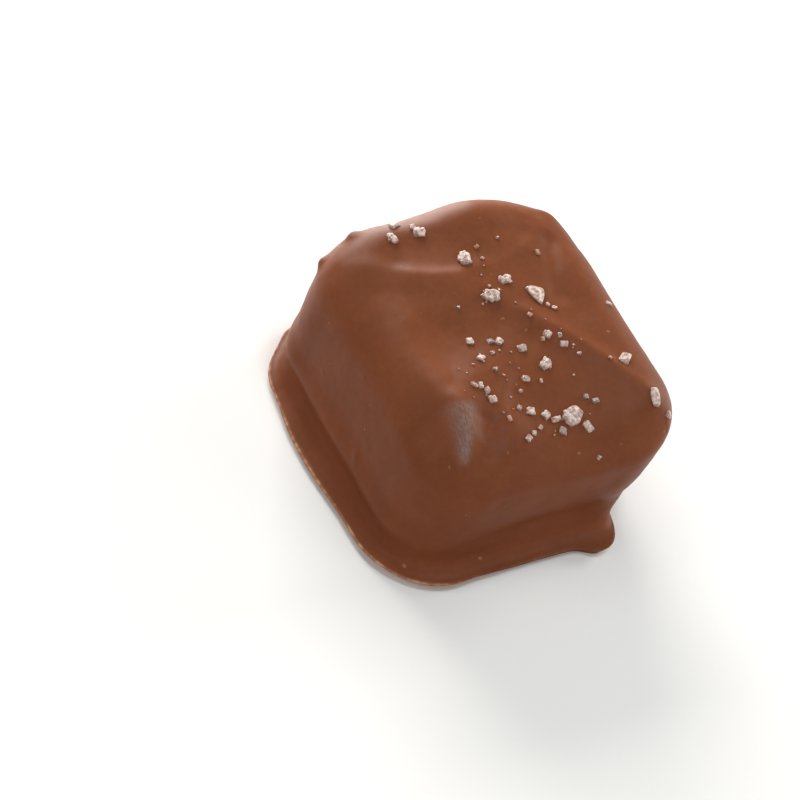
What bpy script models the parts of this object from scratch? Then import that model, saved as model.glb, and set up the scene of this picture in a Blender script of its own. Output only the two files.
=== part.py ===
"""Salted caramel candy: a square piece of soft caramel, dipped in milk chocolate.

The chocolate ran down the sides and set in a thin, uneven foot round the base.
The wet top was stroked with a dipping fork, which left shallow folds that run
from the middle to the corners. The candy is whole, so it is one solid.

The mesh starts as a finely divided cube. Each point of the cube keeps its face
and place there, and the functions below carry it to the candy's surface.
+Z is up, the base lies on Z = 0 and the candy is centred on X and Y.
"""
import math

import bmesh
import bpy
import numpy as np

# Driving dimensions, in millimetres.
BODY_WIDTH = 27.0            # along X, without the foot
BODY_DEPTH = 32.2            # along Y, without the foot
BODY_HEIGHT = 16.9           # up to the edge of the top face
CORNER_ROUND = (5.9, 7.1, 7.4, 6.5)      # upright corners: front left, back left, back right, front right
TOP_ROUND = 4.4              # round between the sides and the top
SIDE_BULGE = 0.6             # the sides swell at half height
SIDE_TAPER = 0.3             # and are this much further out at the top than at the base
LEAN = (2.4, -1.15)          # the top has slumped this far along X and Y

# The foot's four lists give a value every 30 degrees, from -X round by -Y, +X and +Y.
# How far the foot spreads past the side.
FOOT_REACH = (2.7, 2.1, 2.2, 2.15, 1.7, -2.4, 1.0, 1.5, 1.6, 1.8, 0.6, 1.9)
# Height of the foot's rim.
FOOT_EDGE = (0.6, 0.7, 1.0, 1.1, 1.3, 1.0, 0.6, 0.6, 0.6, 0.6, 0.6, 0.6)
# Share of the reach by which the base stands back under the rim.
FOOT_UNDERCUT = (0.32, 0.32, 0.20, 0.10, 0.10, 0.10, 0.12, 0.15, 0.15, 0.15, 0.20, 0.28)
# How far the side swells, or draws in if negative, just above the foot.
SKIRT_SWELL = (0.65, 0.50, -0.10, -0.55, -0.40, 0.00, 0.10, 0.10, 0.10, 0.10, 0.15, 0.45)
FOOT_TOP = 4.6               # height at which the foot has blended into the side
FOOT_FILLET = 2.8            # power of the hollow between the foot and the side
# Bearing, reach and spread of the tab, the notch beside it, the toe, and two swellings of the left rim.
FOOT_LOBES = ((-61.0, 1.6, 6.0), (-48.0, -1.3, 6.0), (-126.0, 0.3, 9.0), (166.0, 0.15, 10.0),
              (127.0, 0.7, 6.0))

MM = 0.001
CELLS = 30                   # the cube's faces are divided into CELLS x CELLS
RIM_SHARE = 0.22             # share of the foot's rows of cells that lies under its rim
FOOT_LEVEL = -0.45           # height in the cube where the foot ends,
SIDE_LEVEL = 0.55            # where the side ends and the round of the top begins,
FLAT_SHARE = 0.80            # and the share of the top face inside that round


def ease(low, high, value):
    """Rise smoothly from 0 at low to 1 at high."""
    share = np.clip((value - low) / (high - low), 0.0, 1.0)
    return share * share * (3.0 - 2.0 * share)


def smooth_between(before, first, second, after, share):
    """A value between first and second on a smooth curve through all four."""
    square = 2.0 * before - 5.0 * first + 4.0 * second - after
    cube = 3.0 * (first - second) + after - before
    return first + 0.5 * share * (second - before + share * (square + share * cube))


def around(bearing, sizes):
    """Read sizes, which are given at equal steps round the candy, at any bearing."""
    sizes = np.asarray(sizes, dtype=float)
    count = len(sizes)
    place = (bearing + math.pi) / (2.0 * math.pi) * count
    start = np.floor(place).astype(int)
    near = [sizes[(start + shift) % count] for shift in (-1, 0, 1, 2)]
    return smooth_between(*near, place - start)


def curve_through(points, steps=10):
    """Sample a smooth curve that passes through the given points."""
    points = np.asarray(points, dtype=float)
    padded = np.vstack((2 * points[0] - points[1], points, 2 * points[-1] - points[-2]))
    samples = [smooth_between(*padded[index:index + 4], step / steps)
               for index in range(len(points) - 1) for step in range(steps)]
    return np.array(samples + [points[-1]])


def measure_to(curve, x, y):
    """Distance to a curve, negative on its right, and the share of its length at the nearest point."""
    nearest = np.full(x.shape, 1e9)
    side = np.ones(x.shape)
    along = np.zeros(x.shape)
    for index in range(len(curve) - 1):
        start, step = curve[index], curve[index + 1] - curve[index]
        share = np.clip(((x - start[0]) * step[0] + (y - start[1]) * step[1]) / (step @ step), 0.0, 1.0)
        gap_x = x - start[0] - share * step[0]
        gap_y = y - start[1] - share * step[1]
        gap = np.hypot(gap_x, gap_y)
        closer = gap < nearest
        nearest = np.where(closer, gap, nearest)
        side = np.where(closer, np.sign(step[0] * gap_y - step[1] * gap_x), side)
        along = np.where(closer, (index + share) / (len(curve) - 1), along)
    return nearest * np.where(side < 0, -1.0, 1.0), along


def ridge(x, y, points, height, width, fade=0.2):
    """A long low swelling, or a hollow if height is negative, that dies away at both ends."""
    gap, along = measure_to(curve_through(points), x, y)
    return height * np.exp(-(gap / width) ** 2) * ease(0.0, fade, along) * ease(0.0, fade, 1.0 - along)


def mound(x, y, centre, radii, height, turn=0.0):
    """A broad round swelling."""
    cosine, sine = math.cos(math.radians(turn)), math.sin(math.radians(turn))
    dx, dy = x - centre[0], y - centre[1]
    u = (cosine * dx + sine * dy) / radii[0]
    v = (cosine * dy - sine * dx) / radii[1]
    return height * np.exp(-(u * u + v * v))


def top_shape(x, y):
    """Height of the top face's broad form: domed, tilted, twisted, and swollen at the back."""
    across = x / (BODY_WIDTH / 2)
    along = y / (BODY_DEPTH / 2)
    dome = 0.55 * (1 - across ** 2) * (1 - along ** 2)
    tilt = -0.5 * across + 0.2 * along + 0.55 * across * along
    back_swelling = mound(x, y, (2.4, 13.9), (4.7, 5.6), 1.5)
    front_left_pinch = mound(x, y, (-12.5, -14.5), (4.4, 5.6), -1.9)
    front_slump = mound(x, y, (-2.0, -14.5), (8.0, 7.5), -1.7)
    back_left_lip = mound(x, y, (-7.0, 13.5), (5.0, 2.6), 0.5, -12.0)
    return dome + tilt + back_swelling + front_left_pinch + front_slump + back_left_lip


def folds(x, y):
    """Height of the folds that the fork left in the wet chocolate on top."""
    # Left of a line that swings from the back left corner to the front right corner the top is a step lower.
    step_line = [(-11.0, 12.0), (-9.3, 9.6), (-8.0, 8.3), (-6.5, 7.2), (-4.0, 6.2), (-1.4, 5.0), (1.0, 3.0),
                 (2.5, 1.0), (3.6, -0.8), (4.8, -2.8), (6.2, -4.6), (7.9, -6.5), (9.3, -9.0), (10.6, -11.8),
                 (12.0, -14.5)]
    gap, along = measure_to(curve_through(step_line), x, y)
    at_the_back = mound(x, y, (-10.0, 10.5), (4.5, 4.5), 0.6)
    height = -0.50 * (1 - at_the_back) * (1 - ease(-3.0, 0.4, gap))
    # Two thin crests: one runs under the swelling to the back right corner, one to the front right.
    height += ridge(x, y, [(-9.6, 10.6), (-7.7, 8.2), (-4.9, 6.3), (-1.6, 5.3), (1.4, 5.5), (4.4, 5.4),
                           (7.7, 6.7), (10.2, 8.0), (12.4, 9.4)], 0.13, 1.1, 0.30)
    height += ridge(x, y, [(2.6, 0.6), (3.9, -1.4), (6.2, -4.2), (8.1, -7.0), (9.9, -9.8), (11.4, -12.4),
                           (12.2, -14.5)], 0.20, 1.1, 0.15)
    height += ridge(x, y, [(-8.0, 2.0), (-6.0, 0.6), (-3.6, -0.6), (-0.8, -2.2), (1.6, -3.4)], -0.38, 3.0, 0.35)
    height += ridge(x, y, [(-8.0, 6.6), (-5.2, 5.2), (-2.2, 3.8), (0.6, 1.8)], 0.38, 2.2, 0.30)
    height += ridge(x, y, [(-7.0, 4.4), (-4.6, 2.6), (-2.0, 1.0), (0.6, -0.6)], 0.22, 2.2, 0.35)
    height += ridge(x, y, [(2.4, -3.2), (4.8, -5.6), (7.2, -9.2), (9.2, -13.2)], 0.24, 2.2)
    # The left cushion is a dish with a raised rim, which ends in a keel down the front left corner.
    left_rim = [(-9.2, 6.6), (-9.9, 3.6), (-10.2, 0.8), (-10.2, -2.4), (-9.9, -5.4), (-8.8, -7.9), (-6.8, -8.6),
                (-4.6, -7.4), (-2.4, -5.6), (-0.4, -3.9)]
    height += ridge(x, y, left_rim, 0.40, 2.4, 0.35)
    height += ridge(x, y, [(-9.9, -6.6), (-8.7, -8.2), (-6.8, -8.9), (-5.0, -8.2)], 0.04, 0.7, 0.3)
    height += ridge(x, y, [(-7.2, -6.6), (-7.9, -9.2), (-8.7, -11.8), (-9.5, -14.2), (-10.6, -16.6)], 0.92, 1.6, 0.45)
    height += ridge(x, y, [(-11.8, -8.4), (-11.4, -10.4), (-11.4, -12.6)], -0.20, 1.2)
    height += ridge(x, y, [(-5.2, -10.4), (-6.2, -12.6), (-7.6, -15.0)], -0.25, 1.3)
    # A crease runs from the middle to the front edge, with a little step down on its right.
    crease = [(2.6, -2.2), (2.0, -3.2), (-0.1, -6.0), (-2.2, -8.7), (-3.5, -10.9), (-5.0, -13.6)]
    gap, along = measure_to(curve_through(crease), x, y)
    fade = ease(0.0, 0.2, along) * ease(0.0, 0.3, 1 - along)
    height -= 0.15 * ease(-0.6, 0.7, gap) * np.exp(-(gap / 2.6) ** 2) * fade
    # The right strip is parted from the back by a shallow groove, and swells a little beyond it.
    height += ridge(x, y, [(11.4, 8.6), (10.3, 6.6), (9.2, 4.0), (8.3, 1.2), (7.8, -1.4)], -0.26, 1.0)
    height += ridge(x, y, [(3.4, 9.6), (6.6, 9.0), (9.6, 8.6)], -0.12, 1.2)
    height += mound(x, y, (11.2, 0.2), (2.6, 4.5), 0.14)
    # Broad dips: right of the middle, in the left cushion and at the front right corner.
    height += mound(x, y, (8.5, -1.5), (3.0, 4.0), -0.28)
    height += mound(x, y, (-6.5, -3.0), (3.0, 3.0), -0.46)
    height += mound(x, y, (9.0, -15.5), (6.0, 6.0), -0.55)
    height += mound(x, y, (-3.5, -11.5), (2.2, 2.2), 0.36)
    return height


def on_outline(a, b):
    """Where a point of the unit square's edge falls on the body's rounded outline."""
    half_width, half_depth = BODY_WIDTH / 2, BODY_DEPTH / 2
    shares = ((1 - a) * (1 - b), (1 - a) * (1 + b), (1 + a) * (1 + b), (1 + a) * (1 - b))
    radius = sum(share * size for share, size in zip(shares, CORNER_ROUND)) / 4
    x, y = a * half_width, b * half_depth
    core_x = np.sign(x) * np.minimum(np.abs(x), half_width - radius)
    core_y = np.sign(y) * np.minimum(np.abs(y), half_depth - radius)
    length = np.hypot(x - core_x, y - core_y)
    out_x, out_y = (x - core_x) / length, (y - core_y) / length
    bearing = np.arctan2((core_y + radius * out_y) / half_depth, (core_x + radius * out_x) / half_width)
    return core_x, core_y, out_x, out_y, radius, bearing


def foot(share, bearing):
    """Height of the foot's surface and how far it stands out, from base (share 0) to side (share 1)."""
    edge = around(bearing, FOOT_EDGE)
    reach = around(bearing, FOOT_REACH)
    for middle, stretch, spread in FOOT_LOBES:
        reach = reach + stretch * np.exp(-((np.degrees(bearing) - middle) / spread) ** 2)
    under = np.clip(1 - share / RIM_SHARE, 0.0, 1.0)
    rise = np.clip((share - RIM_SHARE) / (1 - RIM_SHARE), 0.0, 1.0)
    height = np.where(share < RIM_SHARE, edge * share / RIM_SHARE, edge + (FOOT_TOP - edge) * rise ** 1.9)
    outward = np.where(share < RIM_SHARE, 1.0 - around(bearing, FOOT_UNDERCUT) * under, (1 - rise) ** FOOT_FILLET)
    return height, reach * outward


def candy_surface(cube):
    """Carry points of the cube from -1 to 1 to the candy's surface, in millimetres."""
    a, b, c = cube.T
    spread = np.maximum(np.abs(a), np.abs(b))
    centre = spread < 1e-6
    core_x, core_y, out_x, out_y, radius, bearing = on_outline(
        np.where(centre, 1.0, a) / np.where(centre, 1.0, spread), b / np.where(centre, 1.0, spread))
    on_top = (c > 1 - 1e-6) & (spread < 1 - 1e-6)
    on_base = (c < -1 + 1e-6) & (spread < 1 - 1e-6)

    foot_z, foot_out = foot(np.clip((c + 1) / (FOOT_LEVEL + 1), 0.0, 1.0), bearing)
    side_z = FOOT_TOP + (BODY_HEIGHT - TOP_ROUND - FOOT_TOP) * (c - FOOT_LEVEL) / (SIDE_LEVEL - FOOT_LEVEL)
    quarter = math.pi / 4
    turn = np.clip((c - SIDE_LEVEL) / (1 - SIDE_LEVEL), 0.0, 1.0) * quarter
    turn = np.where(on_top, quarter + quarter * np.clip((1 - spread) / (1 - FLAT_SHARE), 0.0, 1.0), turn)
    round_z = BODY_HEIGHT - TOP_ROUND + TOP_ROUND * np.sin(turn)
    round_out = -TOP_ROUND * (1 - np.cos(turn))

    z = np.where(c < FOOT_LEVEL, foot_z, np.where(c < SIDE_LEVEL, side_z, round_z))
    outward = np.where(c < FOOT_LEVEL, foot_out, np.where(c < SIDE_LEVEL, 0.0, round_out))
    z = np.where(on_base, 0.0, z)
    level = np.clip(z / BODY_HEIGHT, 0.0, 1.0)
    outward = outward + SIDE_TAPER * (level - 0.5) + SIDE_BULGE * (1 - (2 * level - 1) ** 2)
    outward = outward + around(bearing, SKIRT_SWELL) * np.exp(-((z - 4.4) / 1.5) ** 2) * (c < SIDE_LEVEL)

    inward = np.where(on_top & (spread < FLAT_SHARE), spread / FLAT_SHARE, np.where(on_base, spread, 1.0))
    x = (core_x + out_x * (radius + outward)) * inward
    y = (core_y + out_y * (radius + outward)) * inward
    leaned_x = x + LEAN[0] * (level - 0.3)
    leaned_y = y + LEAN[1] * (level - 0.3)
    z = z + (top_shape(x, y) + folds(leaned_x, leaned_y)) * ease(0.35, 1.0, level)
    return np.stack((leaned_x, leaned_y, z), axis=1)


def clear_scene():
    for item in list(bpy.data.objects):
        bpy.data.objects.remove(item, do_unlink=True)


def milk_chocolate():
    material = bpy.data.materials.new("milk_chocolate")
    material.use_nodes = True
    shader = material.node_tree.nodes["Principled BSDF"]
    shader.inputs["Base Color"].default_value = (0.19, 0.068, 0.034, 1.0)
    shader.inputs["Roughness"].default_value = 0.42
    shader.inputs["Metallic"].default_value = 0.0
    return material


def make_candy(collection):
    """Divide a cube, carry its points to the candy's surface and make the base one flat face."""
    shape = bmesh.new()
    bmesh.ops.create_cube(shape, size=2.0)
    bmesh.ops.subdivide_edges(shape, edges=shape.edges[:], cuts=CELLS - 1, use_grid_fill=True)
    surface = candy_surface(np.array([point.co[:] for point in shape.verts]))
    middle = (surface.min(axis=0) + surface.max(axis=0)) / 2
    for point, place in zip(shape.verts, surface):
        point.co = ((place[0] - middle[0]) * MM, (place[1] - middle[1]) * MM, place[2] * MM)
    base = [face for face in shape.faces if all(point.co.z < 1e-7 for point in face.verts)]
    bmesh.ops.dissolve_faces(shape, faces=base, use_verts=False)
    mesh = bpy.data.meshes.new("caramel_candy")
    shape.to_mesh(mesh)
    shape.free()
    mesh.shade_smooth()
    mesh.materials.append(milk_chocolate())
    candy = bpy.data.objects.new("caramel_candy", mesh)
    collection.objects.link(candy)
    return candy


clear_scene()
salted_caramel_candy = bpy.data.collections.new("salted_caramel_candy")
bpy.context.scene.collection.children.link(salted_caramel_candy)
make_candy(salted_caramel_candy)
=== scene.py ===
import math
import random

import bmesh
import bpy
import numpy as np
from mathutils import Matrix, Vector, noise
from mathutils.bvhtree import BVHTree


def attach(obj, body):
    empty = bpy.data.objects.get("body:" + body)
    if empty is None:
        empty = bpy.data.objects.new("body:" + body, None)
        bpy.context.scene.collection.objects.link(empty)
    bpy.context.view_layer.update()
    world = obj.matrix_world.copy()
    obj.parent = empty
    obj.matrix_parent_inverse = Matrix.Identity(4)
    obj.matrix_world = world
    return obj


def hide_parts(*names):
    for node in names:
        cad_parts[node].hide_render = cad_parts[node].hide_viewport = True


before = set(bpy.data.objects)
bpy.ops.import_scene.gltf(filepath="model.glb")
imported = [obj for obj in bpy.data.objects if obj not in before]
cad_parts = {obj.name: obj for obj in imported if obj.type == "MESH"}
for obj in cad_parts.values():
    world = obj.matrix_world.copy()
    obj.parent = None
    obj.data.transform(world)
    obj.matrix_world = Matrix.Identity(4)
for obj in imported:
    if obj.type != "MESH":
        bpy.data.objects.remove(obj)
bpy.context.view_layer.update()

# ---------------------------------------------------------------- view
# The candy is looked at over its front left corner, from well above, and the
# camera is rolled, so that the candy stands in the picture as if tipped back.
view_azimuth = math.radians(-37.83)
view_elevation = math.radians(47.39)
view_roll = math.radians(15.70)
view_distance = 0.2230
view_right_of_middle = 0.00684      # how far the candy sits right of the picture's middle, and above it
view_above_middle = 0.00235
candy_middle = Vector((0.00083, 0.00053, 0.0080))

towards_camera = Vector((math.sin(view_azimuth) * math.cos(view_elevation),
                         -math.cos(view_azimuth) * math.cos(view_elevation),
                         math.sin(view_elevation)))
level_right = Vector((math.cos(view_azimuth), math.sin(view_azimuth), 0.0))
roll = Matrix.Rotation(view_roll, 3, towards_camera)
picture_right = roll @ level_right
picture_up = roll @ towards_camera.cross(level_right)

camera = bpy.data.objects.new("camera", bpy.data.cameras.new("camera"))
bpy.context.scene.collection.objects.link(camera)
camera.matrix_world = Matrix((picture_right, picture_up, towards_camera)).transposed().to_4x4()
camera.location = (candy_middle + towards_camera * view_distance
                   - picture_right * view_right_of_middle - picture_up * view_above_middle)
camera.data.sensor_width = 36.0
camera.data.lens = 102.1
camera.data.clip_start = 0.01
camera.data.clip_end = 10.0
bpy.context.scene.camera = camera

# ---------------------------------------------------------------- chocolate coat
# A square of soft caramel, dipped in milk chocolate about a millimetre thick. The
# chocolate ran down and set in a thin foot on the tray, and the fork that lifted
# the piece left folds on the wet top. Sizes are in millimetres until the mesh is made.
MM = 0.001
body_width = 27.0
body_depth = 32.2
body_height = 16.9
corner_round = (5.9, 7.1, 7.4, 6.5)          # front left, back left, back right, front right
top_round = 4.4
side_bulge = 0.6
side_taper = 0.3
lean = (2.4, -1.15)
foot_reach = (2.7, 2.1, 2.2, 2.15, 1.7, -2.4, 1.0, 1.5, 1.6, 1.8, 0.6, 1.9)    # every 30 degrees from -X by -Y
foot_edge = (0.6, 0.7, 1.0, 1.1, 1.3, 1.0, 0.6, 0.6, 0.6, 0.6, 0.6, 0.6)
foot_undercut = (0.32, 0.32, 0.20, 0.10, 0.10, 0.10, 0.12, 0.15, 0.15, 0.15, 0.20, 0.28)
skirt_swell = (0.65, 0.50, -0.10, -0.55, -0.40, 0.00, 0.10, 0.10, 0.10, 0.10, 0.15, 0.45)
foot_top = 4.6
foot_fillet = 2.8
rim_share = 0.22
# Bearing, reach and spread of the tab, the notch beside it, the toe, and two swellings of the left rim.
foot_lobes = ((-61.0, 1.6, 6.0), (-48.0, -1.3, 6.0), (-126.0, 0.3, 9.0), (166.0, 0.15, 10.0), (127.0, 0.7, 6.0))
coat_cells = 136
foot_level = -0.45
side_level = 0.55
flat_share = 0.80


def ease(low, high, value):
    """Rise smoothly from 0 at low to 1 at high."""
    share = np.clip((value - low) / (high - low), 0.0, 1.0)
    return share * share * (3.0 - 2.0 * share)


def smooth_between(before, first, second, after, share):
    """A value between first and second on a smooth curve through all four."""
    square = 2.0 * before - 5.0 * first + 4.0 * second - after
    cube = 3.0 * (first - second) + after - before
    return first + 0.5 * share * (second - before + share * (square + share * cube))


def around(bearing, sizes):
    """Read sizes, which are given at equal steps round the candy, at any bearing."""
    sizes = np.asarray(sizes, dtype=float)
    count = len(sizes)
    place = (bearing + math.pi) / (2.0 * math.pi) * count
    start = np.floor(place).astype(int)
    near = [sizes[(start + shift) % count] for shift in (-1, 0, 1, 2)]
    return smooth_between(*near, place - start)


def curve_through(points, steps=10):
    """Sample a smooth curve that passes through the given points."""
    points = np.asarray(points, dtype=float)
    padded = np.vstack((2 * points[0] - points[1], points, 2 * points[-1] - points[-2]))
    samples = [smooth_between(*padded[index:index + 4], step / steps)
               for index in range(len(points) - 1) for step in range(steps)]
    return np.array(samples + [points[-1]])


def measure_to(curve, x, y):
    """Distance to a curve, negative on its right, and the share of its length at the nearest point."""
    nearest = np.full(x.shape, 1e9)
    side = np.ones(x.shape)
    along = np.zeros(x.shape)
    for index in range(len(curve) - 1):
        start, step = curve[index], curve[index + 1] - curve[index]
        share = np.clip(((x - start[0]) * step[0] + (y - start[1]) * step[1]) / (step @ step), 0.0, 1.0)
        gap_x = x - start[0] - share * step[0]
        gap_y = y - start[1] - share * step[1]
        gap = np.hypot(gap_x, gap_y)
        closer = gap < nearest
        nearest = np.where(closer, gap, nearest)
        side = np.where(closer, np.sign(step[0] * gap_y - step[1] * gap_x), side)
        along = np.where(closer, (index + share) / (len(curve) - 1), along)
    return nearest * np.where(side < 0, -1.0, 1.0), along


def ridge(x, y, points, height, width, fade=0.2):
    """A long low swelling, or a hollow if height is negative, that dies away at both ends."""
    gap, along = measure_to(curve_through(points), x, y)
    return height * np.exp(-(gap / width) ** 2) * ease(0.0, fade, along) * ease(0.0, fade, 1.0 - along)


def mound(x, y, centre, radii, height, turn=0.0):
    """A broad round swelling."""
    cosine, sine = math.cos(math.radians(turn)), math.sin(math.radians(turn))
    dx, dy = x - centre[0], y - centre[1]
    u = (cosine * dx + sine * dy) / radii[0]
    v = (cosine * dy - sine * dx) / radii[1]
    return height * np.exp(-(u * u + v * v))


def top_shape(x, y):
    """Height of the top face's broad form: domed, tilted, twisted, and swollen at the back."""
    across = x / (body_width / 2)
    along = y / (body_depth / 2)
    dome = 0.55 * (1 - across ** 2) * (1 - along ** 2)
    tilt = -0.5 * across + 0.2 * along + 0.55 * across * along
    back_swelling = mound(x, y, (2.4, 13.9), (4.7, 5.6), 1.5)
    front_left_pinch = mound(x, y, (-12.5, -14.5), (4.4, 5.6), -1.9)
    front_slump = mound(x, y, (-2.0, -14.5), (8.0, 7.5), -1.7)
    back_left_lip = mound(x, y, (-7.0, 13.5), (5.0, 2.6), 0.5, -12.0)
    return dome + tilt + back_swelling + front_left_pinch + front_slump + back_left_lip


def folds(x, y):
    """Height of the folds that the fork left in the wet chocolate on top."""
    # Left of a line that swings from the back left corner to the front right corner the top is a step lower.
    step_line = [(-11.0, 12.0), (-9.3, 9.6), (-8.0, 8.3), (-6.5, 7.2), (-4.0, 6.2), (-1.4, 5.0), (1.0, 3.0),
                 (2.5, 1.0), (3.6, -0.8), (4.8, -2.8), (6.2, -4.6), (7.9, -6.5), (9.3, -9.0), (10.6, -11.8),
                 (12.0, -14.5)]
    gap, along = measure_to(curve_through(step_line), x, y)
    at_the_back = mound(x, y, (-10.0, 10.5), (4.5, 4.5), 0.6)
    height = -0.50 * (1 - at_the_back) * (1 - ease(-3.0, 0.4, gap))
    # Two thin crests stand on it. One runs under the swelling to the back right corner, one to the front right.
    height += ridge(x, y, [(-9.6, 10.6), (-7.7, 8.2), (-4.9, 6.3), (-1.6, 5.3), (1.4, 5.5), (4.4, 5.4), (7.7, 6.7),
                           (10.2, 8.0), (12.4, 9.4)], 0.13, 0.9, 0.30)
    height += ridge(x, y, [(2.6, 0.6), (3.9, -1.4), (6.2, -4.2), (8.1, -7.0), (9.9, -9.8), (11.4, -12.4),
                           (12.2, -14.5)], 0.20, 0.9, 0.15)
    height += ridge(x, y, [(-8.0, 2.0), (-6.0, 0.6), (-3.6, -0.6), (-0.8, -2.2), (1.6, -3.4)], -0.38, 3.0, 0.35)
    height += ridge(x, y, [(-8.0, 6.6), (-5.2, 5.2), (-2.2, 3.8), (0.6, 1.8)], 0.38, 2.2, 0.30)
    height += ridge(x, y, [(-7.0, 4.4), (-4.6, 2.6), (-2.0, 1.0), (0.6, -0.6)], 0.22, 2.2, 0.35)
    height += ridge(x, y, [(2.4, -3.2), (4.8, -5.6), (7.2, -9.2), (9.2, -13.2)], 0.24, 2.2)
    # The left cushion is a dish with a raised rim, which ends in a keel down the front left corner.
    left_rim = [(-9.2, 6.6), (-9.9, 3.6), (-10.2, 0.8), (-10.2, -2.4), (-9.9, -5.4), (-8.8, -7.9), (-6.8, -8.6),
                (-4.6, -7.4), (-2.4, -5.6), (-0.4, -3.9)]
    height += ridge(x, y, left_rim, 0.40, 2.4, 0.35)
    height += ridge(x, y, [(-9.9, -6.6), (-8.7, -8.2), (-6.8, -8.9), (-5.0, -8.2)], 0.04, 0.7, 0.3)
    height += ridge(x, y, [(-7.2, -6.6), (-7.9, -9.2), (-8.7, -11.8), (-9.5, -14.2), (-10.6, -16.6)], 0.92, 1.6, 0.45)
    height += ridge(x, y, [(-11.8, -8.4), (-11.4, -10.4), (-11.4, -12.6)], -0.20, 1.2)
    height += ridge(x, y, [(-5.2, -10.4), (-6.2, -12.6), (-7.6, -15.0)], -0.25, 1.3)
    # A crease runs from the middle to the front edge, with a little step down on its right.
    crease = [(2.6, -2.2), (2.0, -3.2), (-0.1, -6.0), (-2.2, -8.7), (-3.5, -10.9), (-5.0, -13.6)]
    gap, along = measure_to(curve_through(crease), x, y)
    fade = ease(0.0, 0.2, along) * ease(0.0, 0.3, 1 - along)
    height -= 0.15 * ease(-0.6, 0.7, gap) * np.exp(-(gap / 2.6) ** 2) * fade
    # The right strip is parted from the back by a shallow groove, and swells a little beyond it.
    height += ridge(x, y, [(11.4, 8.6), (10.3, 6.6), (9.2, 4.0), (8.3, 1.2), (7.8, -1.4)], -0.26, 1.0)
    height += ridge(x, y, [(3.4, 9.6), (6.6, 9.0), (9.6, 8.6)], -0.12, 1.2)
    height += mound(x, y, (11.2, 0.2), (2.6, 4.5), 0.14)
    # Broad dips: right of the middle, in the left cushion and at the front right corner.
    height += mound(x, y, (8.5, -1.5), (3.0, 4.0), -0.28)
    height += mound(x, y, (-6.5, -3.0), (3.0, 3.0), -0.46)
    height += mound(x, y, (9.0, -15.5), (6.0, 6.0), -0.55)
    height += mound(x, y, (-3.5, -11.5), (2.2, 2.2), 0.36)
    return height


def on_outline(a, b):
    """Where a point of the unit square's edge falls on the body's rounded outline."""
    half_width, half_depth = body_width / 2, body_depth / 2
    shares = ((1 - a) * (1 - b), (1 - a) * (1 + b), (1 + a) * (1 + b), (1 + a) * (1 - b))
    radius = sum(share * size for share, size in zip(shares, corner_round)) / 4
    x, y = a * half_width, b * half_depth
    core_x = np.sign(x) * np.minimum(np.abs(x), half_width - radius)
    core_y = np.sign(y) * np.minimum(np.abs(y), half_depth - radius)
    length = np.hypot(x - core_x, y - core_y)
    out_x, out_y = (x - core_x) / length, (y - core_y) / length
    bearing = np.arctan2((core_y + radius * out_y) / half_depth, (core_x + radius * out_x) / half_width)
    return core_x, core_y, out_x, out_y, radius, bearing


def foot(share, bearing):
    """Height of the foot's surface and how far it stands out, from base (share 0) to side (share 1)."""
    edge = around(bearing, foot_edge)
    reach = around(bearing, foot_reach)
    for middle, stretch, spread in foot_lobes:
        reach = reach + stretch * np.exp(-((np.degrees(bearing) - middle) / spread) ** 2)
    under = np.clip(1 - share / rim_share, 0.0, 1.0)
    rise = np.clip((share - rim_share) / (1 - rim_share), 0.0, 1.0)
    height = np.where(share < rim_share, edge * share / rim_share, edge + (foot_top - edge) * rise ** 1.9)
    outward = np.where(share < rim_share, 1.0 - around(bearing, foot_undercut) * under, (1 - rise) ** foot_fillet)
    return height, reach * outward


def coat_surface(cube):
    """Carry points of the cube from -1 to 1 to the candy's surface, in millimetres."""
    a, b, c = cube.T
    spread = np.maximum(np.abs(a), np.abs(b))
    centre = spread < 1e-6
    core_x, core_y, out_x, out_y, radius, bearing = on_outline(
        np.where(centre, 1.0, a) / np.where(centre, 1.0, spread), b / np.where(centre, 1.0, spread))
    on_top = (c > 1 - 1e-6) & (spread < 1 - 1e-6)
    on_base = (c < -1 + 1e-6) & (spread < 1 - 1e-6)

    foot_z, foot_out = foot(np.clip((c + 1) / (foot_level + 1), 0.0, 1.0), bearing)
    side_z = foot_top + (body_height - top_round - foot_top) * (c - foot_level) / (side_level - foot_level)
    quarter = math.pi / 4
    turn = np.clip((c - side_level) / (1 - side_level), 0.0, 1.0) * quarter
    turn = np.where(on_top, quarter + quarter * np.clip((1 - spread) / (1 - flat_share), 0.0, 1.0), turn)
    round_z = body_height - top_round + top_round * np.sin(turn)
    round_out = -top_round * (1 - np.cos(turn))

    z = np.where(c < foot_level, foot_z, np.where(c < side_level, side_z, round_z))
    outward = np.where(c < foot_level, foot_out, np.where(c < side_level, 0.0, round_out))
    z = np.where(on_base, 0.0, z)
    level = np.clip(z / body_height, 0.0, 1.0)
    outward = outward + side_taper * (level - 0.5) + side_bulge * (1 - (2 * level - 1) ** 2)
    outward = outward + around(bearing, skirt_swell) * np.exp(-((z - 4.4) / 1.5) ** 2) * (c < side_level)

    inward = np.where(on_top & (spread < flat_share), spread / flat_share, np.where(on_base, spread, 1.0))
    x = (core_x + out_x * (radius + outward)) * inward
    y = (core_y + out_y * (radius + outward)) * inward
    leaned_x = x + lean[0] * (level - 0.3)
    leaned_y = y + lean[1] * (level - 0.3)
    z = z + (top_shape(x, y) + folds(leaned_x, leaned_y)) * ease(0.35, 1.0, level)
    return np.stack((leaned_x, leaned_y, z), axis=1)


def read_points(mesh, source, field):
    """Read one vector for each point of a mesh."""
    values = np.empty(len(mesh.vertices) * 3)
    source.foreach_get(field, values)
    return values.reshape(-1, 3)


def move_points(mesh, places):
    mesh.vertices.foreach_set("co", places.ravel())
    mesh.update()


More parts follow.
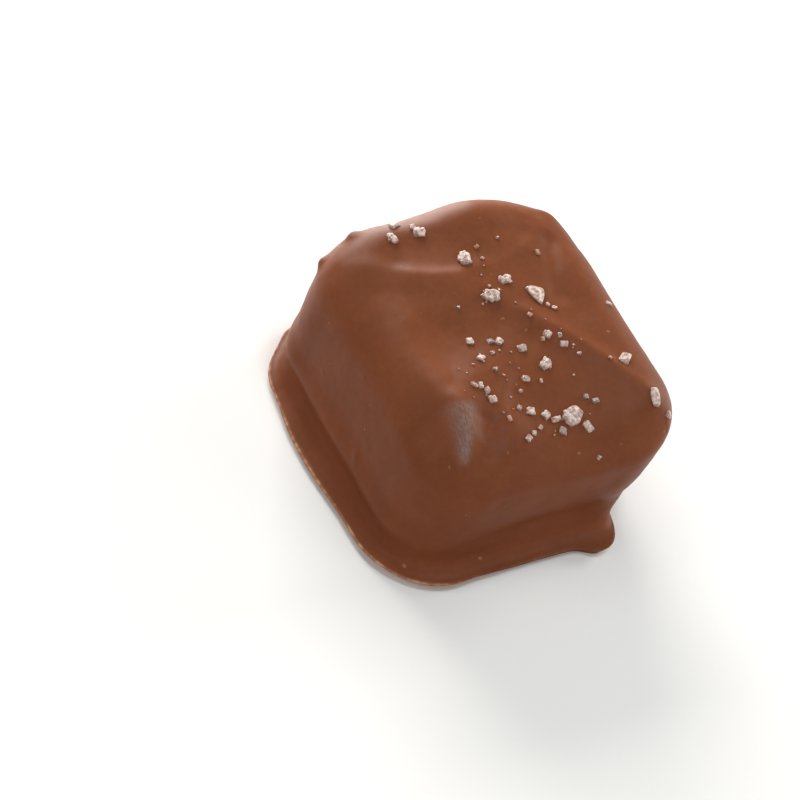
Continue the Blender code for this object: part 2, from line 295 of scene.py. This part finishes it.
def raise_spots(mesh, spots):
    """Push the surface out round each spot, or in if its height is negative. Spots: place, radius, height."""
    places = read_points(mesh, mesh.vertices, "co")
    outward = read_points(mesh, mesh.vertex_normals, "vector")
    push = np.zeros(len(places))
    for place, radius, height in spots:
        gap = np.linalg.norm(places / MM - place, axis=1) / radius
        push += height * np.exp(-gap ** 2)
    move_points(mesh, places + outward * push[:, None] * MM)


def ripple(mesh, amount, wavelength, mask=1.0):
    """Push the surface in and out by smooth noise."""
    places = read_points(mesh, mesh.vertices, "co")
    outward = read_points(mesh, mesh.vertex_normals, "vector")
    lift = np.array([noise.noise(Vector(place) / (wavelength * MM)) for place in places])
    lift[places[:, 2] < 1e-8] = 0.0
    move_points(mesh, places + outward * (amount * MM * lift * mask)[:, None])


def store(mesh, name, values):
    """Keep one number for each point of the mesh, for the material to read."""
    layer = mesh.attributes.new(name, "FLOAT", "POINT")
    layer.data.foreach_set("value", np.asarray(values, dtype=np.float32))


def make_coat():
    """Divide a cube, carry its points to the candy's surface and make the base one flat face."""
    shape = bmesh.new()
    bmesh.ops.create_cube(shape, size=2.0)
    bmesh.ops.subdivide_edges(shape, edges=shape.edges[:], cuts=coat_cells - 1, use_grid_fill=True)
    cube = np.array([point.co[:] for point in shape.verts])
    surface = coat_surface(cube)
    middle = (surface.min(axis=0) + surface.max(axis=0)) / 2
    surface[:, :2] -= middle[:2]
    rim = shape.verts.layers.float.new("rim")
    rim_level = -1 + rim_share * (foot_level + 1)
    for point, place, start in zip(shape.verts, surface * MM, cube):
        point.co = place
        point[rim] = math.exp(-((start[2] - rim_level - 0.006) / 0.013) ** 2)
    base = [face for face in shape.faces if all(point.co.z < 1e-8 for point in face.verts)]
    bmesh.ops.dissolve_faces(shape, faces=base, use_verts=False)
    mesh = bpy.data.meshes.new("chocolate_coat")
    shape.to_mesh(mesh)
    shape.free()
    mesh.shade_smooth()
    piece = bpy.data.objects.new("chocolate_coat", mesh)
    bpy.context.scene.collection.objects.link(piece)
    return piece


def node_maker(tree):
    """A short way to add nodes to a material and set or link their inputs."""
    def add(kind, settings=None, **inputs):
        made = tree.nodes.new(kind)
        for name, value in (settings or {}).items():
            setattr(made, name, value)
        for name, value in inputs.items():
            socket = made.inputs[int(name[1:])] if name[0] == "_" else made.inputs[name.replace("_", " ")]
            if isinstance(value, bpy.types.NodeSocket):
                tree.links.new(value, socket)
            else:
                socket.default_value = value
        return made
    return add


def blend(add, share, first, second, how="MIX"):
    """Mix two colours."""
    mix = add("ShaderNodeMix", {"data_type": "RGBA", "blend_type": how}, _0=share, _6=first, _7=second)
    return mix.outputs[2]


def span(add, value, low, high, start=0.0, end=1.0):
    """Carry a value from low..high to start..end, smoothly, and stop there."""
    made = add("ShaderNodeMapRange", {"interpolation_type": "SMOOTHSTEP"}, Value=value, From_Min=low,
               From_Max=high, To_Min=start, To_Max=end)
    return made.outputs[0]


def milk_chocolate():
    """Satin milk chocolate: soft blotches, fine mottling, a scuffed corner with a painted highlight, and a chipped rim
    with a painted highlight along its edge.
    """
    material = bpy.data.materials.new("milk_chocolate")
    material.use_nodes = True
    tree = material.node_tree
    shader = tree.nodes["Principled BSDF"]
    add = node_maker(tree)
    place = add("ShaderNodeTexCoord").outputs["Object"]

    def cloud(scale, detail=2.0, stretch=None):
        where = place
        if stretch:
            where = add("ShaderNodeMapping", None, Vector=place, Rotation=stretch[0], Scale=stretch[1]).outputs[0]
        return add("ShaderNodeTexNoise", None, Vector=where, Scale=scale, Detail=detail).outputs[0]

    blotches = span(add, cloud(190.0, 3.0), 0.36, 0.64)
    colour = blend(add, blotches, (0.152, 0.0435, 0.0165, 1), (0.168, 0.0490, 0.0190, 1))
    mottle = span(add, cloud(1900.0, 4.0), 0.25, 0.75, 0.955, 1.045)
    grain = add("ShaderNodeCombineColor", None, Red=mottle, Green=mottle, Blue=mottle).outputs[0]
    colour = blend(add, 1.0, colour, grain, "MULTIPLY")
    specks = span(add, cloud(1100.0, 1.0), 0.765, 0.82, 0.0, 0.6)
    colour = blend(add, specks, colour, (0.33, 0.16, 0.08, 1))
    scratches = span(add, cloud(5200.0, 3.0, ((0.3, 0.2, 0.9), (1.0, 0.35, 0.6))), 0.36, 0.66)
    scuff = add("ShaderNodeAttribute", {"attribute_name": "scuff"}).outputs["Fac"]
    scuff_and_highlight_share = add("ShaderNodeMath", {"operation": "MULTIPLY"}, _0=scuff,
                  _1=span(add, scratches, 0.0, 1.0, 0.34, 0.62)).outputs[0]
    # Painted highlight: a bluish grey is mixed into the scuffed front left corner, where light glances off the facet.
    colour = blend(add, scuff_and_highlight_share, colour, (0.235, 0.185, 0.170, 1))
    wear = add("ShaderNodeAttribute", {"attribute_name": "wear"}).outputs["Fac"]
    # Painted highlight: a pale line along the foot's thin rim, where its edge catches the light, broken by real chips.
    colour = blend(add, wear, colour, (0.50, 0.26, 0.155, 1))
    tree.links.new(colour, shader.inputs["Base Color"])

    patches = cloud(330.0, 2.0)
    rough = span(add, patches, 0.30, 0.70, 0.41, 0.46)
    tree.links.new(rough, shader.inputs["Roughness"])
    shader.inputs["Specular IOR Level"].default_value = 0.08

    fine = add("ShaderNodeBump", None, Strength=0.16, Distance=0.00003, Height=cloud(3800.0, 3.0)).outputs[0]
    soft = add("ShaderNodeBump", None, Strength=0.30, Distance=0.00008, Height=cloud(420.0, 1.0), Normal=fine).outputs[0]
    scratched = add("ShaderNodeMath", {"operation": "MULTIPLY"}, _0=scratches, _1=scuff).outputs[0]
    bump = add("ShaderNodeBump", None, Strength=0.6, Distance=0.00005, Height=scratched, Normal=soft).outputs[0]
    tree.links.new(bump, shader.inputs["Normal"])
    return material


coat = make_coat()
coat_mesh = coat.data
# Film peaks at the back left, then small hollows, drips and pimples where air came out.
raise_spots(coat_mesh, [
    ((-6.8, 14.3, 15.9), 0.8, 0.45), ((-9.8, 14.3, 13.3), 0.8, 0.42),
    ((13.8, -13.3, 14.3), 3.5, 0.22), ((13.9, 4.6, 15.5), 3.4, 0.20), ((13.6, 11.6, 16.0), 1.4, 0.28),
    ((-12.8, -4.9, 8.5), 1.0, -0.10), ((-13.1, -3.9, 5.6), 0.6, 0.22), ((-10.6, -14.2, 13.2), 1.5, -0.14),
    ((-11.5, -11.3, 14.5), 0.32, 0.16), ((-8.2, 6.8, 17.0), 0.25, 0.10), ((-7.5, 2.2, 16.9), 0.22, 0.08),
    ((-12.9, 5.5, 7.6), 0.25, 0.10), ((-12.0, -0.1, 12.8), 0.25, 0.09), ((-12.0, -12.5, 5.2), 0.25, 0.12),
    ((-8.2, -15.7, 9.7), 0.30, 0.10), ((2.6, -16.1, 9.2), 0.9, -0.08), ((8.2, -15.9, 8.0), 1.2, 0.10),
])
spot_dice = random.Random(5)
coat_points = read_points(coat_mesh, coat_mesh.vertices, "co")
bubbles = []
while len(bubbles) < 36:
    point = coat_points[spot_dice.randrange(len(coat_points))] / MM
    if point[2] > 1.5:
        bubbles.append((tuple(point), spot_dice.uniform(0.12, 0.20), spot_dice.uniform(0.02, 0.06)))
raise_spots(coat_mesh, bubbles)
ripple(coat_mesh, 0.09, 5.0)
ripple(coat_mesh, 0.025, 1.3)
coat_points = read_points(coat_mesh, coat_mesh.vertices, "co")

# The corner that was touched is scuffed and carries a painted highlight, and the foot's thin rim is chipped and carries
# a thin painted highlight along its edge.
keel_gap, keel_along = measure_to(np.array([(-6.8, -8.2), (-7.6, -10.8), (-8.7, -14.0)]),
                                  coat_points[:, 0] / MM, coat_points[:, 1] / MM)
keel_half = 1.55 - 1.15 * keel_along
# This mask is partly scuffing and partly a painted highlight, which grows brighter towards the corner's tip.
scuff = np.exp(-np.abs(keel_gap / keel_half) ** 2.6) * (0.55 + 0.65 * keel_along) * ease(0.0, 0.2, keel_along) * ease(0.0, 0.12, 1 - keel_along)
store(coat_mesh, "scuff", scuff * (coat_points[:, 2] > 11 * MM))
rim = np.empty(len(coat_points))
coat_mesh.attributes["rim"].data.foreach_get("value", rim)
left_side = 1 - ease(-12.0, -4.0, coat_points[:, 0] / MM)
chips = np.array([noise.noise(Vector(place) / (0.6 * MM)) for place in coat_points])
# Painted highlight along the rim, kept to the left side where the light catches it, mixed with chips.
store(coat_mesh, "wear", rim * left_side * (0.45 + 0.75 * ease(-0.05, 0.30, chips)))

coat_mesh.materials.append(milk_chocolate())
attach(coat, "root")
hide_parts("caramel_candy")

# ---------------------------------------------------------------- sea salt
# Coarse sea salt, sprinkled by hand while the chocolate was wet, so that the grains
# are sunk in it. They are broken crystals: some stuck together in clumps, some single
# blocks, a few thin flakes, and dust. Places and sizes are in millimetres.
salt_dice = random.Random(21)
coat_tree = BVHTree.FromPolygons([tuple(point) for point in coat_points],
                                 [tuple(face.vertices) for face in coat_mesh.polygons])


def crystal(shape, paints, centre, size, turn, tint, fine=2, outline=None):
    """Add one crystal: a box with cut corners, or a plate of the given outline, half melted and frosted."""
    corners = []
    if outline:
        for x, y in outline:
            corners += [Vector((x, y, -0.5 * size[2])), Vector((0.85 * x, 0.85 * y, 0.5 * size[2]))]
    else:
        for sides in [(x, y, z) for x in (-1, 1) for y in (-1, 1) for z in (-1, 1)]:
            corner = Vector([0.5 * sides[axis] * size[axis] for axis in range(3)])
            if salt_dice.random() < 0.2:
                corners.append(corner * salt_dice.uniform(0.80, 1.0))
            else:
                for axis in range(3):
                    cut = corner.copy()
                    cut[axis] *= 1 - salt_dice.uniform(0.6, 1.5)
                    corners.append(cut)
    piece = bmesh.new()
    for corner in corners:
        piece.verts.new(corner)
    hull = bmesh.ops.convex_hull(piece, input=piece.verts)
    bmesh.ops.delete(piece, geom=[item for item in hull["geom_interior"] if item.is_valid], context="VERTS")
    bmesh.ops.dissolve_limit(piece, angle_limit=math.radians(4), verts=piece.verts, edges=piece.edges)
    least = min(size)
    bmesh.ops.triangulate(piece, faces=piece.faces)
    for cut_round in range(fine):
        long_edges = [edge for edge in piece.edges if edge.calc_length() > (0.34, 0.17)[cut_round] * least]
        bmesh.ops.subdivide_edges(piece, edges=long_edges, cuts=1 + cut_round, use_grid_fill=True)
        bmesh.ops.triangulate(piece, faces=piece.faces)
        for smoothing in range(1 if outline else 2 + cut_round):
            bmesh.ops.smooth_vert(piece, verts=piece.verts, factor=0.5, use_axis_x=True, use_axis_y=True, use_axis_z=True)
    shift = Vector([salt_dice.uniform(0, 90) for axis in range(3)])
    for point in piece.verts:
        direction = point.co.normalized()
        frost = 0.07 * noise.noise(point.co / (0.16 * least) + shift) + 0.15 * noise.noise(point.co / (0.45 * least) + shift)
        point.co += direction * frost * least
    points = {}
    for point in piece.verts:
        place = turn @ point.co + centre
        near, out, _, _ = coat_tree.find_nearest(place * MM)
        points[point] = shape.verts.new(place * MM)
        points[point][paints[0]] = tint
        points[point][paints[1]] = (place - near / MM).dot(out)
    for face in piece.faces:
        shape.faces.new([points[point] for point in face.verts])
    piece.free()


def set_on_coat(x, y):
    """The place on the candy's top above (x, y), and a frame whose Z points out of the chocolate there."""
    place, normal, _, _ = coat_tree.ray_cast(Vector((x, y, 30.0)) * MM, Vector((0, 0, -1)))
    return place / MM, normal.to_track_quat("Z", "Y").to_matrix()


def random_turn(lean_most):
    """A turn about Z and then a small lean, in degrees."""
    lean_axis = Vector((salt_dice.uniform(-1, 1), salt_dice.uniform(-1, 1), 0)).normalized()
    spin = Matrix.Rotation(salt_dice.uniform(0, 2 * math.pi), 3, "Z")
    return Matrix.Rotation(math.radians(salt_dice.uniform(0, lean_most)), 3, lean_axis) @ spin


def salt_piece(name, fill):
    """Make one piece of salt. fill adds its crystals."""
    shape = bmesh.new()
    shape.verts.layers.float.new("tint")
    shape.verts.layers.float.new("stand")
    paints = [shape.verts.layers.float[name] for name in ("tint", "stand")]
    fill(shape, paints)
    mesh = bpy.data.meshes.new(name)
    shape.to_mesh(mesh)
    shape.free()
    mesh.materials.append(sea_salt)
    piece = bpy.data.objects.new(name, mesh)
    bpy.context.scene.collection.objects.link(piece)
    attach(piece, "root")
    return piece


def salt_finish():
    """Frosted salt: milky white, with pink grey where the chocolate shows through it."""
    material = bpy.data.materials.new("sea_salt")
    material.use_nodes = True
    tree = material.node_tree
    shader = tree.nodes["Principled BSDF"]
    add = node_maker(tree)
    place = add("ShaderNodeTexCoord").outputs["Object"]
    cells = add("ShaderNodeTexVoronoi", None, Vector=place, Scale=4200.0).outputs["Distance"]
    cloud = add("ShaderNodeTexNoise", None, Vector=place, Scale=2300.0, Detail=4.0).outputs[0]
    colour = blend(add, span(add, cloud, 0.38, 0.62), (0.32, 0.20, 0.16, 1), (0.64, 0.50, 0.435, 1))
    colour = blend(add, span(add, cells, 0.05, 0.40, 0.35, 0.0), colour, (0.80, 0.71, 0.65, 1))
    stand = add("ShaderNodeAttribute", {"attribute_name": "stand"}).outputs["Fac"]
    colour = blend(add, span(add, stand, 0.0, 0.32, 0.85, 0.0), colour, (0.225, 0.105, 0.068, 1))
    tint = add("ShaderNodeAttribute", {"attribute_name": "tint"}).outputs["Fac"]
    colour = blend(add, span(add, tint, 0.0, 1.0, 0.0, 0.9), colour, (0.36, 0.15, 0.07, 1))
    colour = blend(add, span(add, tint, 0.0, -1.0, 0.0, 0.85), colour, (0.20, 0.145, 0.125, 1))
    tree.links.new(colour, shader.inputs["Base Color"])
    tree.links.new(span(add, cloud, 0.3, 0.7, 0.30, 0.55), shader.inputs["Roughness"])
    shader.inputs["Specular IOR Level"].default_value = 0.5
    shader.inputs["Subsurface Weight"].default_value = 0.35
    shader.inputs["Subsurface Radius"].default_value = (1.0, 0.7, 0.6)
    shader.inputs["Subsurface Scale"].default_value = 0.0004
    frost = add("ShaderNodeBump", None, Strength=0.5, Distance=0.00005, Height=cells).outputs[0]
    tree.links.new(frost, shader.inputs["Normal"])
    return material


sea_salt = salt_finish()


def add_clumps(shape, paints):
    """Clumps: place, width, depth, turn in degrees and how many small crystals stick to the main one."""
    clumps = [(3.8, -12.0, 2.5, 1.9, 25, 7), (1.9, 2.3, 1.8, 1.5, 10, 6), (1.4, 7.2, 1.8, 1.4, -10, 5),
              (3.5, -6.4, 1.5, 1.1, 40, 4), (-3.2, 13.4, 1.3, 0.9, 30, 3), (-4.3, 11.7, 1.5, 0.9, -35, 3)]
    for x, y, width, depth, turn, count in clumps:
        middle, frame_out = set_on_coat(x, y)
        spin = frame_out @ Matrix.Rotation(math.radians(turn), 3, "Z")
        height = 0.55 * min(depth, 1.3)
        outline = [(-0.50 * width, -0.30 * depth), (-0.42 * width, 0.46 * depth), (0.10 * width, 0.50 * depth),
                   (0.52 * width, 0.38 * depth), (0.48 * width, -0.40 * depth), (-0.10 * width, -0.50 * depth)]
        crystal(shape, paints, middle + frame_out @ Vector((0, 0, 0.10)), (width, depth, height), spin, 0.0, 2, outline)
        for number in range(count):
            angle = number * 2.4
            reach = math.sqrt((number + 0.6) / count) * 0.42
            size = [salt_dice.uniform(0.35, 0.60) * min(depth, 1.2) * squash for squash in (1, 1, 0.75)]
            across = Vector((math.cos(angle) * reach * width, math.sin(angle) * reach * depth,
                             0.24 * height * (1 - reach / 0.5) + salt_dice.uniform(0.0, 0.06)))
            tint = 0.5 if (count == 4 and number % 2 == 0) else salt_dice.choice((0.0, 0.0, -0.15, 0.12))
            crystal(shape, paints, middle + spin @ across, size, spin @ random_turn(25), tint)


def add_blocks(shape, paints):
    """Single crystals: place, length, width, height, turn in degrees and tint (1 is brown, -1 is clear and dark)."""
    blocks = [
        (-1.4, 11.6, 1.15, 1.10, 0.9, 20, 0.0), (-1.7, 12.5, 0.8, 0.6, 0.5, 50, -0.5), (4.1, 3.7, 1.0, 1.2, 0.8, 38, 0.0),
        (11.5, -8.0, 1.45, 1.0, 0.6, -30, 0.0), (13.6, -14.0, 0.7, 0.7, 0.6, 10, 0.0), (13.6, -1.1, 0.5, 0.7, 0.5, 0, 0.0),
        (-2.4, -1.8, 0.75, 0.75, 0.55, 15, -0.1), (-0.5, -2.4, 0.6, 0.65, 0.4, 40, -0.8), (0.3, -2.7, 0.75, 0.8, 0.6, 60, 0.0),
        (-1.0, -3.8, 0.5, 0.4, 0.4, 5, -0.2), (-2.4, -4.1, 0.7, 0.7, 0.6, 30, 0.0), (2.1, -4.1, 1.05, 0.8, 0.5, -30, -0.4),
        (5.1, -3.5, 0.8, 0.8, 0.55, 80, 0.1), (6.2, -5.0, 0.75, 0.65, 0.5, 10, -0.3), (0.9, -7.3, 0.8, 0.65, 0.5, -25, 0.15),
        (-4.7, -7.1, 0.75, 0.5, 0.45, 35, 0.1), (-4.1, -7.3, 0.7, 0.5, 0.45, 20, 0.05), (-3.7, -7.9, 0.65, 0.55, 0.45, 0, 0.05),
        (-3.6, -8.9, 0.75, 0.85, 0.5, 50, 0.15), (-1.2, -10.1, 0.6, 0.5, 0.35, 0, -0.4), (-0.2, -10.6, 0.85, 0.85, 0.55, 30, 0.0),
        (-2.8, -11.1, 0.6, 0.45, 0.35, 70, 0.5), (-0.9, -12.8, 0.55, 0.55, 0.5, 20, -0.1), (-1.7, -13.2, 0.7, 0.6, 0.55, 15, 0.0),
        (1.2, -11.3, 0.8, 0.8, 0.55, 0, 0.0), (2.0, -11.9, 1.0, 0.6, 0.55, -15, 0.0), (4.9, -13.3, 0.85, 1.1, 0.55, 20, -0.2),
        (2.2, -13.1, 0.75, 0.75, 0.5, 45, -0.7),
    ]
    for x, y, length, width, height, turn, tint in blocks:
        middle, frame_out = set_on_coat(x, y)
        spin = frame_out @ Matrix.Rotation(math.radians(turn), 3, "Z") @ Matrix.Rotation(
            math.radians(salt_dice.uniform(-14, 14)), 3, "X")
        crystal(shape, paints, middle + frame_out @ Vector((0, 0, 0.02 * height)),
                (1.1 * length, 1.1 * width, 1.0 * height), spin, tint)


def add_flakes(shape, paints):
    """Thin flakes that lie nearly flat: a pointed one, and a long one over the right corner."""
    flakes = [(6.3, 1.5, 0.40, -98, 0.0, [(-1.25, 0.55), (-0.35, 1.05), (1.05, 0.95), (1.15, 0.15), (0.95, -1.45), (0.35, -1.2)]),
              (12.4, -12.7, 0.5, 60, -0.15, [(-1.15, -0.30), (-0.95, 0.48), (0.10, 0.60), (1.05, 0.36), (1.10, -0.36), (0.0, -0.60)])]
    for x, y, thickness, turn, tint, outline in flakes:
        middle, frame_out = set_on_coat(x, y)
        spin = frame_out @ Matrix.Rotation(math.radians(turn), 3, "Z")
        crystal(shape, paints, middle + spin @ Vector((0, 0, 0.13)), (2.0, 1.5, thickness), spin, tint, 2, outline)


def add_dust(shape, paints):
    """Crumbs, thickest along the creases and beside the clumps. The brown ones are under a film of chocolate."""
    crumbs = [(3.2, 8.2, 0.5, 0.8), (9.2, 6.3, 0.55, 0.7), (4.4, -1.0, 0.5, 0.7), (5.8, 8.7, 0.4, -0.3), (3.1, 6.7, 0.35, 0.3),
              (7.0, -0.1, 0.5, 0.3), (7.5, -0.6, 0.5, 0.1), (4.5, -3.8, 0.5, 0.6), (7.2, -6.3, 0.4, 0.2), (6.2, -4.0, 0.5, -0.4),
              (9.9, -7.7, 0.4, 0.4), (5.9, -10.5, 0.6, -0.7), (6.7, -11.2, 0.6, -0.7), (5.7, -8.2, 0.25, 0.0),
              (0.0, -12.4, 0.45, -0.2), (-1.8, -5.8, 0.6, -0.6), (5.1, -15.8, 0.45, 0.2), (-1.8, 2.0, 0.3, -0.6),
              (-0.2, -8.4, 0.4, 0.3), (2.3, -7.9, 0.4, 0.2), (3.0, 2.7, 0.3, 0.2), (2.2, 3.4, 0.3, 0.5)]
    trails = [((-4.8, -5.4), (-2.0, -4.2), 6), ((-5.0, -7.6), (-2.4, -11.0), 8), ((1.0, -3.4), (-1.6, -9.0), 8),
              ((3.0, 1.0), (8.4, -6.6), 8), ((1.0, -12.6), (6.4, -11.4), 8), ((0.8, 2.0), (3.6, 6.4), 6)]
    for start, end, count in trails:
        for number in range(count):
            share = salt_dice.random()
            crumbs.append((start[0] + (end[0] - start[0]) * share + salt_dice.gauss(0, 0.5),
                           start[1] + (end[1] - start[1]) * share + salt_dice.gauss(0, 0.5),
                           salt_dice.uniform(0.10, 0.24), salt_dice.choice((0.0, 0.3, -0.3, 0.7))))
    for x, y, across, tint in crumbs:
        middle, frame_out = set_on_coat(x, y)
        size = [across * salt_dice.uniform(0.75, 1.15), across * salt_dice.uniform(0.75, 1.1), across * 0.8]
        crystal(shape, paints, middle + frame_out @ Vector((0, 0, 0.10 * across)), size, frame_out @ random_turn(40),
                tint, 1 if across > 0.3 else 0)


salt_piece("salt_clumps", add_clumps)
salt_piece("salt_blocks", add_blocks)
salt_piece("salt_flakes", add_flakes)
salt_piece("salt_dust", add_dust)

# ---------------------------------------------------------------- studio
# A pale table, white surroundings and two soft lights.
def table_finish():
    material = bpy.data.materials.new("pale_table")
    material.use_nodes = True
    shader = material.node_tree.nodes["Principled BSDF"]
    shader.inputs["Base Color"].default_value = (0.84, 0.81, 0.785, 1.0)
    shader.inputs["Roughness"].default_value = 0.22
    return material


floor_mesh = bpy.data.meshes.new("floor")
floor_shape = bmesh.new()
bmesh.ops.create_grid(floor_shape, x_segments=1, y_segments=1, size=1.5)
floor_shape.to_mesh(floor_mesh)
floor_shape.free()
floor = bpy.data.objects.new("floor", floor_mesh)
floor_mesh.materials.append(table_finish())
bpy.context.scene.collection.objects.link(floor)


def soft_light(name, bearing, height, power, size=0.25, distance=0.5, colour=(1.0, 0.98, 0.955)):
    """A square soft light that faces the candy. bearing 0 is in front (-Y), 90 is to the right (+X)."""
    lamp = bpy.data.lights.new(name, "AREA")
    lamp.shape = "SQUARE"
    lamp.size = size
    lamp.energy = power
    lamp.color = colour
    holder = bpy.data.objects.new(name, lamp)
    bpy.context.scene.collection.objects.link(holder)
    bearing = math.radians(bearing)
    height = math.radians(height)
    towards_light = Vector((math.sin(bearing) * math.cos(height), -math.cos(bearing) * math.cos(height),
                            math.sin(height)))
    holder.location = candy_middle + towards_light * distance
    holder.rotation_mode = "QUATERNION"
    holder.rotation_quaternion = (-towards_light).to_track_quat("-Z", "Y")
    return holder


soft_light("low_front", 0, 22, 0.30)
soft_light("low_front_right", 45, 22, 0.50)
soft_light("low_right", 95, 18, 1.65)
soft_light("low_back", 172, 16, 5.70, size=0.35)
soft_light("low_left", 255, 38, 0.60, colour=(1.0, 0.96, 0.92))
soft_light("low_front_left", 315, 24, 1.10, size=0.60, colour=(1.0, 0.96, 0.92))
soft_light("high_back", 180, 55, 0.15)
soft_light("cool_overhead", 49, 76, 0.80, size=0.10, colour=(0.70, 0.90, 1.0))

world = bpy.data.worlds.new("dim_room")
bpy.context.scene.world = world
world.use_nodes = True
world.node_tree.nodes["Background"].inputs["Color"].default_value = (1.0, 0.99, 0.98, 1.0)
world.node_tree.nodes["Background"].inputs["Strength"].default_value = 0.06
bpy.context.scene.view_settings.view_transform = "Standard"
